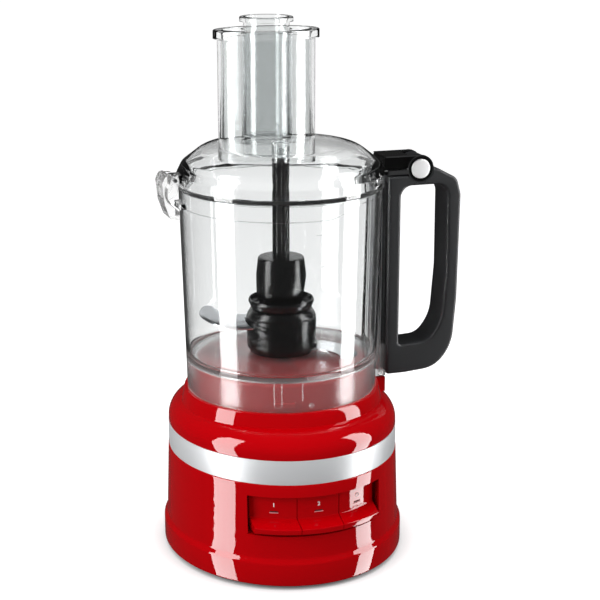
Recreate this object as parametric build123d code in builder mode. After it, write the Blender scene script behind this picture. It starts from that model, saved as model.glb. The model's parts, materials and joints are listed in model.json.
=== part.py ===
from build123d import *
import math
import os

# A countertop food processor: a motor base with three keys, a lift-off bowl with a
# closed handle, a hinged lid with a feed tube, two nested pushers and a sickle blade.
# Millimetres. +Z is up, -Y is the front, +X is the handle side. The origin is on the
# spindle axis in the plane that the foot ring stands on.

# ---- base ----
OVAL = 1.105  # the base is this much deeper (Y) than it is wide (X)
WALL = 3.0  # moulded wall of the base shells
FIT = 0.3  # clearance between pieces that slide or lift apart
FOOT_H = 3.0  # the foot ring lifts the base this far
PLINTH_R = 100.0  # half the width of the plinth
PLINTH_TOP = 22.0
WAIST_R = 97.3  # half the width just above the plinth step
STEP_H = 3.5
HOUSING_R = 95.2  # half the width at the top of the lower housing
HOUSING_TOP = 87.1
BAND_H = 20.3
BAND_R = HOUSING_R - 0.4
BAND_WALL = 1.4
SHOULDER_R = BAND_R - 0.2
SHOULDER_ROUND = 16.0
SHOULDER_TOP = HOUSING_TOP + BAND_H + 19.6
NECK_R = 84.6  # round neck under the bowl, at its foot
NECK_TOP_R = NECK_R - 3.4
NECK_TOP = SHOULDER_TOP + 11.0
CORD_X = 30.0  # the cord's inlet, low on the rear
CORD_R = 5.4
CORD_LIP = 1.2
CORD_Z = FOOT_H + WALL + CORD_R + CORD_LIP + 0.9  # clear of the base plate
CORD_BORE = 3.2
CORD_FACE = PLINTH_R * OVAL - 1.5
COLLAR_R = 72.5  # raised collar that the bowl skirt drops over
COLLAR_TOP = NECK_TOP + 23.0

# ---- keys ----
KEY_PITCH = 35.0
KEY_GAP = 0.6
KEY_FACE_R = HOUSING_R - 5.7  # half-width of the oval that the key faces lie on
KEY_LIP_R = KEY_FACE_R + 11.5  # the same for the lip that a finger presses
KEY_BOTTOM = 47.5
KEY_LIP_TOP = KEY_BOTTOM + 4.7
KEY_CREASE = KEY_LIP_TOP + 4.1
KEY_TOP = KEY_CREASE + 20.1
KEY_PLATE = 2.5
KEY_TRAVEL = 2.0
KEY_STEM_R = 2.8
KEY_STEM_Z = KEY_CREASE + 5.7
KEY_STEM_OUT = 6.0  # stem length behind the pocket wall
RECESS_SIDE = 3.0  # space beside the outer keys
RECESS_ABOVE = 0.6
RECESS_BELOW = 3.0
POCKET_BACK = -70.0  # Y of the pocket's rear wall, front face
POCKET_WALL = 2.0

# ---- drive ----
SPINDLE_R = 5.0
SPINDLE_TOP = COLLAR_TOP + 45.0
SPINDLE_FOOT = 10.0
HEX_AF = 11.0  # drive hexagon across its flats
HEX_TOP = SPINDLE_TOP + 18.0
RUN = 0.05  # radial clearance of a running fit
SLEEVE_R = 8.6  # bearing sleeve inside the bowl's chimney
SLEEVE_TOP = COLLAR_TOP + 39.0
SLEEVE_FOOT_R = 12.2
MOTOR_SHAFT_R = 3.0
STATOR_SIDE = 62.0
STATOR_H = 32.0
ARMATURE_R = 17.0
AIR_GAP = 0.6
MOTOR_PULLEY_R = 8.5
BELT_RATIO = 4.0
SPINDLE_PULLEY_R = MOTOR_PULLEY_R * BELT_RATIO
MOTOR_Y = SPINDLE_PULLEY_R + MOTOR_PULLEY_R + 13.5  # centre distance of the belt drive
PULLEY_BOTTOM = 14.0
PULLEY_H = 12.0
BELT_W = 8.0
BELT_T = 1.8
CHASSIS_BOTTOM = 34.0
CHASSIS_T = 4.0
STATOR_BOTTOM = CHASSIS_BOTTOM + CHASSIS_T + 12.0
STATOR_TOP = STATOR_BOTTOM + STATOR_H

# ---- bowl ----
BOWL_FOOT = NECK_TOP + 0.4
BOWL_FOOT_R = COLLAR_R + 6.1
BOWL_H = 167.6
BOWL_TOP = BOWL_FOOT + BOWL_H
BOWL_TOP_R = BOWL_FOOT_R + 4.3
BOWL_WALL = 2.2
FLOOR_BOTTOM = COLLAR_TOP + 2.5
FLOOR_TOP = FLOOR_BOTTOM + 2.5
CHIMNEY_R = SLEEVE_R + 0.7  # bore of the bowl's chimney
CHIMNEY_WALL = 2.2
CHIMNEY_TOP = SLEEVE_TOP + 3.5
RAIL_X = BOWL_TOP_R + 5.4  # outer face of the clear rail that carries the handle
RAIL_HALF = 13.0
CHANNEL_IN = BOWL_TOP_R + 0.6
CHANNEL_OUT = RAIL_X - 1.3
CHANNEL_HALF = 10.5
ROD_T = 2.4
ROD_HALF = 4.5
LUG_OUT = BOWL_TOP_R + 3.9  # latch lug on the bowl

# ---- handle and hinge ----
HANDLE_HALF = 15.0
HANDLE_ROUND = 2.5
HANDLE_FOOT = BOWL_FOOT + 1.3
HINGE_X = RAIL_X + 27.9
HINGE_Z = BOWL_TOP + 9.4
HANDLE_TOP = HINGE_Z - 5.2
PIN_R = 2.5
BOSS_R = 10.6
TRIM_T = 0.8
CAP_R = 8.1
KNUCKLE_HALF = 7.6
CHEEK_IN = 8.0
CHEEK_OUT = 13.0
ARM_BOTTOM = HINGE_Z + 0.4
ARM_TOP = ARM_BOTTOM + 10.5

# ---- lid ----
LID_R = BOWL_TOP_R + 1.3
LID_SKIRT = BOWL_TOP + 0.8
LID_RIM_TOP = LID_SKIRT + 11.2
LID_TOP = LID_RIM_TOP + 24.6
LID_WALL = 2.2
LIP_R = BOWL_TOP_R - 4.1  # locating lip inside the bowl mouth
LIP_FOOT = BOWL_TOP - 2.0
GASKET_H = 3.0
TUBE_A = 41.0  # half the width of the feed tube
TUBE_B = 27.0
TUBE_Y = TUBE_B + 11.0
TUBE_WALL = 2.2
TUBE_FOOT = LID_RIM_TOP + 2.0
TUBE_H = 100.0
TUBE_TOP = TUBE_FOOT + TUBE_H
STEM_TOP = LID_RIM_TOP + 8.5
STEM_TIP_R = 3.0
STEM_TIP_TOP = STEM_TOP + 8.0
BOSS_BORE = STEM_TIP_R + 2.2
BOSS_OUT = BOSS_BORE + 2.0
BOSS_FOOT = STEM_TOP + 1.0

# ---- latch ----
LATCH_X = -LID_R - 5.8
LATCH_Z = BOWL_TOP + 11.0
LATCH_PIN_R = 1.5
LATCH_HALF = 12.5
EAR_HALF = 7.5
EAR_R = 3.2
EAR_GAP = 0.5

# ---- pushers ----
PUSHER_GAP = 0.8
PUSHER_WALL = 1.8
PUSHER_FOOT = TUBE_FOOT + 16.0
FLANGE_A = TUBE_A + 3.5
FLANGE_B = TUBE_B + 3.0
FLANGE_BOTTOM = TUBE_TOP + 1.0
FLANGE_TOP = FLANGE_BOTTOM + 7.0
SLEEVE_BORE = TUBE_B - 7.6  # bore of the small feed tube in the large pusher
SMALL_GAP = 0.5
SMALL_FOOT = PUSHER_FOOT + 4.0
SMALL_FLANGE_R = SLEEVE_BORE + 2.6
SMALL_FLANGE = FLANGE_TOP + 6.0
SMALL_TOP = SMALL_FLANGE + 4.0

# ---- blade ----
HUB_FOOT = FLOOR_TOP + 0.8
HUB_R = 29.0
HUB_SHOULDER = CHIMNEY_TOP
HUB_BORE = CHIMNEY_R + CHIMNEY_WALL + 1.5
HUB_BORE_TOP = CHIMNEY_TOP + 2.5
DISH_R = HUB_R - 1.8
DISH_TOP = HUB_SHOULDER + 8.5
BOSS_MID_R = 20.6
BOSS_LOW_R = BOSS_MID_R - 0.4
CAP_FOOT = HEX_TOP + 8.0
CAP_TOP = CAP_FOOT + 15.0
CAP_TOP_R = BOSS_MID_R - 1.7
STEM_R = 7.0
STEM_FLUTES = 10
BLADE_T = 1.8
BLADE_OUT = BOWL_FOOT_R - 8.6
BLADE_LOW = HUB_FOOT + 4.2
BLADE_HIGH = HUB_FOOT + 26.2

SCREW_R = 1.8
SCREW_HEAD_R = 3.4
BOTTOM = (Align.CENTER, Align.CENTER, Align.MIN)

os.makedirs("parts", exist_ok=True)


def lathe(*corners, depth=1.0, mode=Mode.ADD):
    """Turns an outline of (radius, height, corner radius) about the spindle axis.

    depth stretches the turned solid along Y, which gives the oval of the base.
    """
    with BuildSketch(Plane.XZ) as section:
        with BuildLine():
            FilletPolyline(*[c[:2] for c in corners], radius=[c[2] for c in corners], close=True)
        make_face()
    turned = revolve(section.sketch, axis=Axis.Z, mode=Mode.PRIVATE)
    if depth != 1.0:
        turned = scale(turned, by=(1, depth, 1), mode=Mode.PRIVATE)
    add(turned, mode=mode)


def tube(r_out, r_in, low, high, x=0.0, y=0.0):
    """A round tube standing between two heights; r_in 0 makes it a solid rod."""
    with Locations((x, y, low)):
        Cylinder(r_out, high - low, align=BOTTOM)
        if r_in:
            Cylinder(r_in, high - low, align=BOTTOM, mode=Mode.SUBTRACT)


def block(x0, x1, y0, y1, z0, z1, mode=Mode.ADD):
    """A box between two corners."""
    with Locations(((x0 + x1) / 2, (y0 + y1) / 2, z0)):
        Box(x1 - x0, y1 - y0, z1 - z0, align=BOTTOM, mode=mode)


def side_plate(corners, y0, y1, mode=Mode.ADD):
    """Extrudes an outline of (x, z, corner radius) between two Y planes."""
    with BuildSketch(Plane.XZ.offset(-y0)) as section:
        with BuildLine():
            FilletPolyline(*[c[:2] for c in corners], radius=[c[2] for c in corners], close=True)
        make_face()
    extrude(section.sketch, amount=-(y1 - y0), mode=mode)


def cross_rod(r, y0, y1, x, z, mode=Mode.ADD):
    """A round rod lying along Y."""
    with Locations((x, (y0 + y1) / 2, z)):
        Cylinder(r, y1 - y0, rotation=(90, 0, 0), mode=mode)


def oval_prism(a, b, low, high, y=0.0, mode=Mode.ADD):
    """An upright prism on an ellipse with half-axes a and b."""
    with BuildSketch(Plane.XY.offset(low)) as section:
        with Locations((0, y)):
            Ellipse(a, b)
    extrude(section.sketch, amount=high - low, mode=mode)


def finish(piece, name):
    """Labels a finished piece and writes its file."""
    piece.part.label = name
    export_step(piece.part, f"parts/{name}.step")


# ================================================================ base shells
RECESS_HALF = 1.5 * KEY_PITCH + RECESS_SIDE
RECESS_LOW = KEY_BOTTOM - RECESS_BELOW
RECESS_HIGH = KEY_TOP + RECESS_ABOVE
FRONT = -PLINTH_R * OVAL - 10.0  # a Y plane well in front of the base

# The housing's hollow keeps a block of material at the front for the key pocket.
with BuildPart() as housing_hollow:
    lathe(
        (0, 0, 0),
        (PLINTH_R - WALL, 0, 0),
        (PLINTH_R - WALL, PLINTH_TOP - WALL / 2, 0),
        (WAIST_R - WALL, PLINTH_TOP + STEP_H, 0),
        (HOUSING_R - WALL, HOUSING_TOP + WALL, 0),
        (0, HOUSING_TOP + WALL, 0),
        depth=OVAL,
    )
    block(
        -RECESS_HALF - POCKET_WALL,
        RECESS_HALF + POCKET_WALL,
        FRONT,
        POCKET_BACK + POCKET_WALL,
        RECESS_LOW - POCKET_WALL,
        RECESS_HIGH + POCKET_WALL,
        mode=Mode.SUBTRACT,
    )

KEY_X = [-KEY_PITCH, 0.0, KEY_PITCH]

with BuildPart() as base_housing:
    lathe(
        (0, FOOT_H, 0),
        (PLINTH_R, FOOT_H, 1.5),
        (PLINTH_R, PLINTH_TOP, 3.0),
        (WAIST_R, PLINTH_TOP + STEP_H, 3.0),
        (HOUSING_R, HOUSING_TOP, 0.8),
        (0, HOUSING_TOP, 0),
        depth=OVAL,
    )
    add(housing_hollow.part, mode=Mode.SUBTRACT)
    block(-RECESS_HALF, RECESS_HALF, FRONT, POCKET_BACK, RECESS_LOW, RECESS_HIGH, mode=Mode.SUBTRACT)
    for x in KEY_X:
        wall_y = POCKET_BACK + POCKET_WALL
        cross_rod(KEY_STEM_R + FIT, POCKET_BACK - 1, wall_y + 1, x, KEY_STEM_Z, mode=Mode.SUBTRACT)
    cross_rod(CORD_R + 0.1, 0, CORD_FACE + 10, CORD_X, CORD_Z, mode=Mode.SUBTRACT)
finish(base_housing, "base_housing")

with BuildPart() as trim_band:
    lathe(
        (BAND_R, HOUSING_TOP + 0.1, 0.3),
        (BAND_R, HOUSING_TOP + BAND_H - 0.1, 0.3),
        (BAND_R - BAND_WALL, HOUSING_TOP + BAND_H - 0.1, 0),
        (BAND_R - BAND_WALL, HOUSING_TOP + 0.1, 0),
        depth=OVAL,
    )
finish(trim_band, "trim_band")

BAND_TOP = HOUSING_TOP + BAND_H
BAND_SEAT = BAND_R - BAND_WALL - 0.1
SPIGOT_R = HOUSING_R - WALL - FIT

# Shoulder and neck. A spigot drops inside the housing and the band wraps its seat.
with BuildPart() as top_cover:
    lathe(
        (SPIGOT_R, HOUSING_TOP - 7, 0),
        (SPIGOT_R, HOUSING_TOP, 0),
        (BAND_SEAT, HOUSING_TOP, 0),
        (BAND_SEAT, BAND_TOP, 0),
        (SHOULDER_R, BAND_TOP, 0.4),
        (SHOULDER_R, SHOULDER_TOP, SHOULDER_ROUND),
        (COLLAR_R - 6.5, SHOULDER_TOP, 0),
        (COLLAR_R - 6.5, SHOULDER_TOP - WALL, 0),
        (SHOULDER_R - WALL, SHOULDER_TOP - WALL, SHOULDER_ROUND - WALL),
        (SHOULDER_R - WALL, BAND_TOP + 1, 0),
        (SPIGOT_R - WALL, BAND_TOP - 2, 0),
        (SPIGOT_R - WALL, HOUSING_TOP - 7, 0),
        depth=OVAL,
    )
    lathe(
        (NECK_R, SHOULDER_TOP - WALL + 0.4, 0),
        (NECK_TOP_R, NECK_TOP, 0.6),
        (NECK_TOP_R - WALL, NECK_TOP, 0),
        (NECK_TOP_R - WALL, SHOULDER_TOP - WALL + 0.4, 0),
    )
    # guide post under the handle's rail
    block(NECK_R - 2, LUG_OUT + 5.4, -3, 3, SHOULDER_TOP - 6, SHOULDER_TOP + 6.8)
finish(top_cover, "top_cover")

with BuildPart() as bowl_collar:
    lathe(
        (NECK_TOP_R - WALL - FIT, SHOULDER_TOP, 0),
        (NECK_TOP_R - WALL - FIT, SHOULDER_TOP + WALL, 0),
        (COLLAR_R, SHOULDER_TOP + WALL, 1.5),
        (COLLAR_R, COLLAR_TOP, 4.0),
        (SLEEVE_FOOT_R + FIT, COLLAR_TOP, 0),
        (SLEEVE_FOOT_R + FIT, COLLAR_TOP - 2.5, 0),
        (COLLAR_R - WALL, COLLAR_TOP - 2.5, 1.5),
        (COLLAR_R - WALL, SHOULDER_TOP, 0),
    )
    # three ramped lugs that the bowl's skirt turns on to
    with PolarLocations(COLLAR_R + 0.6, 3, start_angle=-105):
        with Locations((0, 0, SHOULDER_TOP + 14)):
            Box(2.4, 16, 3.5, align=BOTTOM)
finish(bowl_collar, "bowl_collar")

SCREW_SPOTS = [(sx * 56.0, sy * 56.0) for sx in (-1, 1) for sy in (-1, 1)]
PLATE_BOTTOM = FOOT_H + 0.5
PLATE_TOP = PLATE_BOTTOM + WALL

with BuildPart() as base_plate:
    plate_r = PLINTH_R - WALL - FIT
    oval_prism(plate_r, plate_r * OVAL, PLATE_BOTTOM, PLATE_TOP)
    for x, y in SCREW_SPOTS:
        tube(SCREW_HEAD_R + 2.0, 0, PLATE_BOTTOM, CHASSIS_BOTTOM, x, y)
    with BuildSketch(Plane.XY.offset(PLATE_BOTTOM - 1)) as vents:
        with Locations((0, MOTOR_Y)):
            with GridLocations(7.0, 1.0, 7, 1):
                SlotOverall(30.0, 2.6, rotation=90)
    extrude(vents.sketch, amount=WALL + 2, mode=Mode.SUBTRACT)
    for x, y in SCREW_SPOTS:
        with Locations((x, y, PLATE_BOTTOM)):
            Cylinder(SCREW_R + 0.3, CHASSIS_BOTTOM, align=BOTTOM, mode=Mode.SUBTRACT)
            Cylinder(SCREW_HEAD_R + 0.4, 5.0, align=BOTTOM, mode=Mode.SUBTRACT)
finish(base_plate, "base_plate")

FOOT_R = PLINTH_R - 9.0
FOOT_W = 8.0
with BuildPart() as foot_ring:
    oval_prism(FOOT_R, FOOT_R * OVAL, 0, PLATE_BOTTOM)
    oval_prism(FOOT_R - FOOT_W, (FOOT_R - FOOT_W) * OVAL, 0, PLATE_BOTTOM, mode=Mode.SUBTRACT)
finish(foot_ring, "foot_ring")

with BuildPart() as base_screws:
    for x, y in SCREW_SPOTS:
        tube(SCREW_HEAD_R, 0, PLATE_BOTTOM + 2.8, PLATE_BOTTOM + 5.0, x, y)
        tube(SCREW_R, 0, PLATE_BOTTOM + 4.0, CHASSIS_BOTTOM + CHASSIS_T + 6, x, y)
finish(base_screws, "base_screws")

with BuildPart() as cord_inlet:
    inlet_in = OVAL * math.sqrt((PLINTH_R - WALL) ** 2 - (CORD_X + CORD_R + 3) ** 2) - 3.0
    cross_rod(CORD_R, inlet_in, CORD_FACE, CORD_X, CORD_Z)
    cross_rod(CORD_R + CORD_LIP, inlet_in, inlet_in + 2.5, CORD_X, CORD_Z)
    cross_rod(CORD_BORE, inlet_in - 1, CORD_FACE + 1, CORD_X, CORD_Z, mode=Mode.SUBTRACT)
finish(cord_inlet, "cord_inlet")

# ================================================================ drive, inside the base
CHASSIS_TOP = CHASSIS_BOTTOM + CHASSIS_T
CHASSIS_A = 74.0
CHASSIS_B = 90.0
with BuildPart() as chassis:
    oval_prism(CHASSIS_A, CHASSIS_B, CHASSIS_BOTTOM, CHASSIS_TOP)
    for x, y in SCREW_SPOTS:
        tube(SCREW_HEAD_R + 1.4, 0, CHASSIS_BOTTOM, CHASSIS_TOP + 8, x, y)
    with Locations((0, 0, CHASSIS_BOTTOM)):
        Cylinder(SPINDLE_R + 6.4, 3 * CHASSIS_T, align=BOTTOM, mode=Mode.SUBTRACT)
    with Locations((0, MOTOR_Y, CHASSIS_BOTTOM)):
        Cylinder(MOTOR_SHAFT_R + 5.0, 3 * CHASSIS_T, align=BOTTOM, mode=Mode.SUBTRACT)
    for x, y in SCREW_SPOTS:
        with Locations((x, y, CHASSIS_BOTTOM)):
            Cylinder(SCREW_R, 3 * CHASSIS_T, align=BOTTOM, mode=Mode.SUBTRACT)
finish(chassis, "chassis")

BEARING_H = 7.0
BEARING_R = SPINDLE_R + 4.5
SPINDLE_BEARING_Z = [CHASSIS_TOP + 3.0, SLEEVE_TOP - BEARING_H - 1.0]
with BuildPart() as spindle_housing:
    lathe(
        (SPINDLE_R + 1.0, CHASSIS_TOP, 0),
        (SLEEVE_FOOT_R + 12, CHASSIS_TOP, 0),
        (SLEEVE_FOOT_R + 12, CHASSIS_TOP + 3, 1.0),
        (SLEEVE_FOOT_R, CHASSIS_TOP + 3, 2.0),
        (SLEEVE_FOOT_R, COLLAR_TOP - 0.5, 1.0),
        (SLEEVE_R, COLLAR_TOP - 0.5, 0),
        (SLEEVE_R, SLEEVE_TOP, 0.8),
        (SPINDLE_R + 1.0, SLEEVE_TOP, 0),
    )
    with Locations((0, 0, SPINDLE_BEARING_Z[0])):
        Cylinder(BEARING_R, BEARING_H, align=BOTTOM, mode=Mode.SUBTRACT)
    with Locations((0, 0, SPINDLE_BEARING_Z[1])):
        Cylinder(SPINDLE_R + 2.2, BEARING_H + 2, align=BOTTOM, mode=Mode.SUBTRACT)
finish(spindle_housing, "spindle_housing")

with BuildPart() as spindle_bearings:
    tube(BEARING_R, SPINDLE_R + RUN, SPINDLE_BEARING_Z[0], SPINDLE_BEARING_Z[0] + BEARING_H)
    tube(SPINDLE_R + 2.2, SPINDLE_R + RUN, SPINDLE_BEARING_Z[1], SPINDLE_BEARING_Z[1] + BEARING_H)
finish(spindle_bearings, "spindle_bearings")

with BuildPart() as drive_spindle:
    tube(SPINDLE_R, 0, SPINDLE_FOOT, SPINDLE_TOP)
    chamfer(drive_spindle.edges().group_by(Axis.Z)[0], 0.8)
finish(drive_spindle, "drive_spindle")

with BuildPart() as drive_hex:
    with BuildSketch(Plane.XY.offset(SLEEVE_TOP + 1.0)):
        RegularPolygon(HEX_AF / 2, 6, major_radius=False)
    extrude(amount=HEX_TOP - SLEEVE_TOP - 1.0)
    chamfer(drive_hex.edges().group_by(Axis.Z)[-1], 1.0)
    with Locations((0, 0, SLEEVE_TOP + 1.0)):
        Cylinder(SPINDLE_R, SPINDLE_TOP - SLEEVE_TOP - 1.0, align=BOTTOM, mode=Mode.SUBTRACT)
finish(drive_hex, "drive_hex")

PULLEY_TOP = PULLEY_BOTTOM + PULLEY_H
FLANGE_T = 1.2
with BuildPart() as spindle_pulley:
    tube(SPINDLE_PULLEY_R, SPINDLE_R, PULLEY_BOTTOM, PULLEY_TOP)
    tube(SPINDLE_PULLEY_R + 3, SPINDLE_R, PULLEY_BOTTOM, PULLEY_BOTTOM + FLANGE_T)
    with BuildSketch(Plane.XY.offset(PULLEY_BOTTOM)) as windows:
        with PolarLocations(SPINDLE_PULLEY_R * 0.58, 6):
            Circle(SPINDLE_PULLEY_R * 0.18)
    extrude(windows.sketch, amount=PULLEY_H, mode=Mode.SUBTRACT)
finish(spindle_pulley, "spindle_pulley")

with BuildPart() as motor_shaft:
    tube(MOTOR_SHAFT_R, 0, PULLEY_BOTTOM - 2, STATOR_TOP + 24, 0, MOTOR_Y)
finish(motor_shaft, "motor_shaft")

with BuildPart() as motor_pulley:
    tube(MOTOR_PULLEY_R, MOTOR_SHAFT_R, PULLEY_BOTTOM, PULLEY_TOP, 0, MOTOR_Y)
    tube(MOTOR_PULLEY_R + 2.6, MOTOR_SHAFT_R, PULLEY_TOP - FLANGE_T, PULLEY_TOP, 0, MOTOR_Y)
finish(motor_pulley, "motor_pulley")

# Open belt round both pulleys: a ring between two offsets of the pulleys' common outline.
BELT_LEAN = math.asin((SPINDLE_PULLEY_R - MOTOR_PULLEY_R) / MOTOR_Y)


def belt_outline(gap):
    """The stadium that wraps both pulleys at a distance, as a sketch."""
    big = SPINDLE_PULLEY_R + gap
    small = MOTOR_PULLEY_R + gap
    c, s = math.cos(BELT_LEAN), math.sin(BELT_LEAN)
    with BuildSketch(Plane.XY.offset(PULLEY_BOTTOM + (PULLEY_H - BELT_W) / 2)) as outline:
        with BuildLine():
            Polyline((big * c, big * s), (small * c, MOTOR_Y + small * s))
            ThreePointArc(
                (small * c, MOTOR_Y + small * s), (0, MOTOR_Y + small), (-small * c, MOTOR_Y + small * s)
            )
            Polyline((-small * c, MOTOR_Y + small * s), (-big * c, big * s))
            ThreePointArc((-big * c, big * s), (0, -big), (big * c, big * s))
        make_face()
    return outline.sketch


with BuildPart() as drive_belt:
    extrude(belt_outline(FIT + BELT_T), amount=BELT_W)
    extrude(belt_outline(FIT), amount=BELT_W, mode=Mode.SUBTRACT)
finish(drive_belt, "drive_belt")

with BuildPart() as cooling_fan:
    fan_z = CHASSIS_TOP + 2.0
    tube(8, MOTOR_SHAFT_R, fan_z, fan_z + 7, 0, MOTOR_Y)
    tube(25, MOTOR_SHAFT_R, fan_z, fan_z + 1.4, 0, MOTOR_Y)
    with BuildSketch(Plane.XY.offset(fan_z + 1.0)) as vanes:
        with Locations((0, MOTOR_Y)):
            with PolarLocations(16, 11):
                Rectangle(18, 1.3, rotation=18)
    extrude(vanes.sketch, amount=6)
finish(cooling_fan, "cooling_fan")

with BuildPart() as motor_stator:
    with BuildSketch(Plane.XY.offset(STATOR_BOTTOM)) as lamination:
        with Locations((0, MOTOR_Y)):
            RectangleRounded(STATOR_SIDE, STATOR_SIDE - 8, 9)
            Circle(ARMATURE_R + AIR_GAP, mode=Mode.SUBTRACT)
            with Locations((0, 21), (0, -21)):
                SlotOverall(34, 5, mode=Mode.SUBTRACT)
    extrude(lamination.sketch, amount=STATOR_TOP - STATOR_BOTTOM)
finish(motor_stator, "motor_stator")

with BuildPart() as field_coils:
    for side in (-1, 1):
        with BuildSketch(Plane.XY.offset(STATOR_BOTTOM - 1.5)) as winding:
            with Locations((0, MOTOR_Y + side * 21)):
                SlotOverall(33, 4)
        extrude(winding.sketch, amount=STATOR_TOP - STATOR_BOTTOM + 3)
finish(field_coils, "field_coils")

with BuildPart() as motor_armature:
    tube(ARMATURE_R, MOTOR_SHAFT_R, STATOR_BOTTOM, STATOR_TOP, 0, MOTOR_Y)
    with BuildSketch(Plane.XY.offset(STATOR_BOTTOM)) as slots:
        with Locations((0, MOTOR_Y)):
            with PolarLocations(ARMATURE_R - 2.5, 12):
                Rectangle(6, 1.6)
    extrude(slots.sketch, amount=STATOR_TOP - STATOR_BOTTOM, mode=Mode.SUBTRACT)
finish(motor_armature, "motor_armature")

COMM_Z = STATOR_TOP + 3.0
COMM_H = 10.0
with BuildPart() as commutator:
    tube(9, MOTOR_SHAFT_R, COMM_Z, COMM_Z + COMM_H, 0, MOTOR_Y)
finish(commutator, "commutator")

with BuildPart() as motor_brushes:
    for side in (-1, 1):
        with Locations((side * (9 + FIT + 6), MOTOR_Y, COMM_Z + 1)):
            Box(12, 5, 8, align=BOTTOM)
finish(motor_brushes, "motor_brushes")

with BuildPart() as brush_frame:
    frame_z = COMM_Z + COMM_H + 2
    block(-STATOR_SIDE / 2, STATOR_SIDE / 2, MOTOR_Y - 8, MOTOR_Y + 8, frame_z, frame_z + 3)
    tube(11, 0, frame_z, frame_z + 8, 0, MOTOR_Y)
    for side in (-1, 1):
        foot = side * (STATOR_SIDE / 2 - 3)
        block(foot - 3, foot + 3, MOTOR_Y - 8, MOTOR_Y + 8, STATOR_TOP, frame_z + 1)
    with Locations((0, MOTOR_Y, frame_z - 1)):
        Cylinder(8, 8, align=BOTTOM, mode=Mode.SUBTRACT)
        Cylinder(MOTOR_SHAFT_R + 1, 12, align=BOTTOM, mode=Mode.SUBTRACT)
finish(brush_frame, "brush_frame")

with BuildPart() as motor_bearings:
    tube(8, MOTOR_SHAFT_R + RUN, frame_z + 2, frame_z + 7, 0, MOTOR_Y)
    tube(MOTOR_SHAFT_R + 5.0, MOTOR_SHAFT_R + RUN, CHASSIS_BOTTOM, CHASSIS_TOP, 0, MOTOR_Y)
finish(motor_bearings, "motor_bearings")

with BuildPart() as motor_posts:
    for x in (-26, 26):
        for y in (MOTOR_Y - 22, MOTOR_Y + 22):
            tube(3.2, 0, CHASSIS_TOP, STATOR_BOTTOM, x, y)
finish(motor_posts, "motor_posts")

STEM_END = POCKET_BACK + POCKET_WALL + KEY_STEM_OUT
SWITCH_Y = STEM_END + KEY_TRAVEL + 0.5
BOARD_Y = SWITCH_Y + 7.0
with BuildPart() as key_switches:
    for x in KEY_X:
        block(x - 6.5, x + 6.5, SWITCH_Y, BOARD_Y, KEY_STEM_Z - 4, KEY_STEM_Z + 4)
finish(key_switches, "key_switches")

with BuildPart() as circuit_board:
    block(-48, 48, BOARD_Y, BOARD_Y + 1.6, CHASSIS_TOP, KEY_STEM_Z + 12)
    for x in (-30, -8, 22):
        block(x - 6, x + 6, BOARD_Y + 1.6, BOARD_Y + 11, CHASSIS_TOP + 4, CHASSIS_TOP + 18)
finish(circuit_board, "circuit_board")

# Coil springs on the key stems, with their rear ends on the pocket's back wall.
SPRING_WIRE = 0.45
SPRING_TURNS = 3
with BuildPart() as key_springs:
    for x in KEY_X:
        seat = (x, POCKET_BACK - SPRING_WIRE - 0.1, KEY_STEM_Z)
        with BuildLine() as coil:
            Helix(1.3, 1.3 * SPRING_TURNS, KEY_STEM_R + 1.3, center=seat, direction=(0, -1, 0))
        with BuildSketch(Plane(coil.line @ 0, z_dir=coil.line % 0)):
            Circle(SPRING_WIRE)
        sweep(path=coil.line)
finish(key_springs, "key_springs")

with BuildPart() as interlock_switch:
    block(LUG_OUT - 10.0, LUG_OUT - 1.0, -6, 6, BAND_TOP - 3, BAND_TOP + 11)
finish(interlock_switch, "interlock_switch")

# ================================================================ keys
KEY_BACK_R = KEY_FACE_R - KEY_PLATE
for key_x, key_name in zip(KEY_X, ("key_low", "key_high", "key_pulse")):
    with BuildPart() as key:
        lathe(
            (KEY_FACE_R, KEY_TOP, 1.0),
            (KEY_FACE_R, KEY_CREASE, 1.5),
            (KEY_LIP_R, KEY_LIP_TOP, 1.0),
            (KEY_LIP_R - 0.4, KEY_BOTTOM, 1.0),
            (KEY_BACK_R, KEY_BOTTOM, 0),
            (KEY_BACK_R, KEY_TOP, 0),
            depth=OVAL,
        )
        half = (KEY_PITCH - KEY_GAP) / 2
        block(key_x - half, key_x + half, FRONT, POCKET_BACK, RECESS_LOW, RECESS_HIGH, mode=Mode.INTERSECT)
        stem_root = -OVAL * math.sqrt((KEY_FACE_R - 1) ** 2 - key_x**2)
        cross_rod(KEY_STEM_R, stem_root, STEM_END, key_x, KEY_STEM_Z)
    finish(key, key_name)

# ================================================================ bowl
with BuildPart() as bowl_outside:
    lathe((0, BOWL_FOOT, 0), (BOWL_FOOT_R, BOWL_FOOT, 0), (BOWL_TOP_R, BOWL_TOP, 0), (0, BOWL_TOP, 0))

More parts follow.
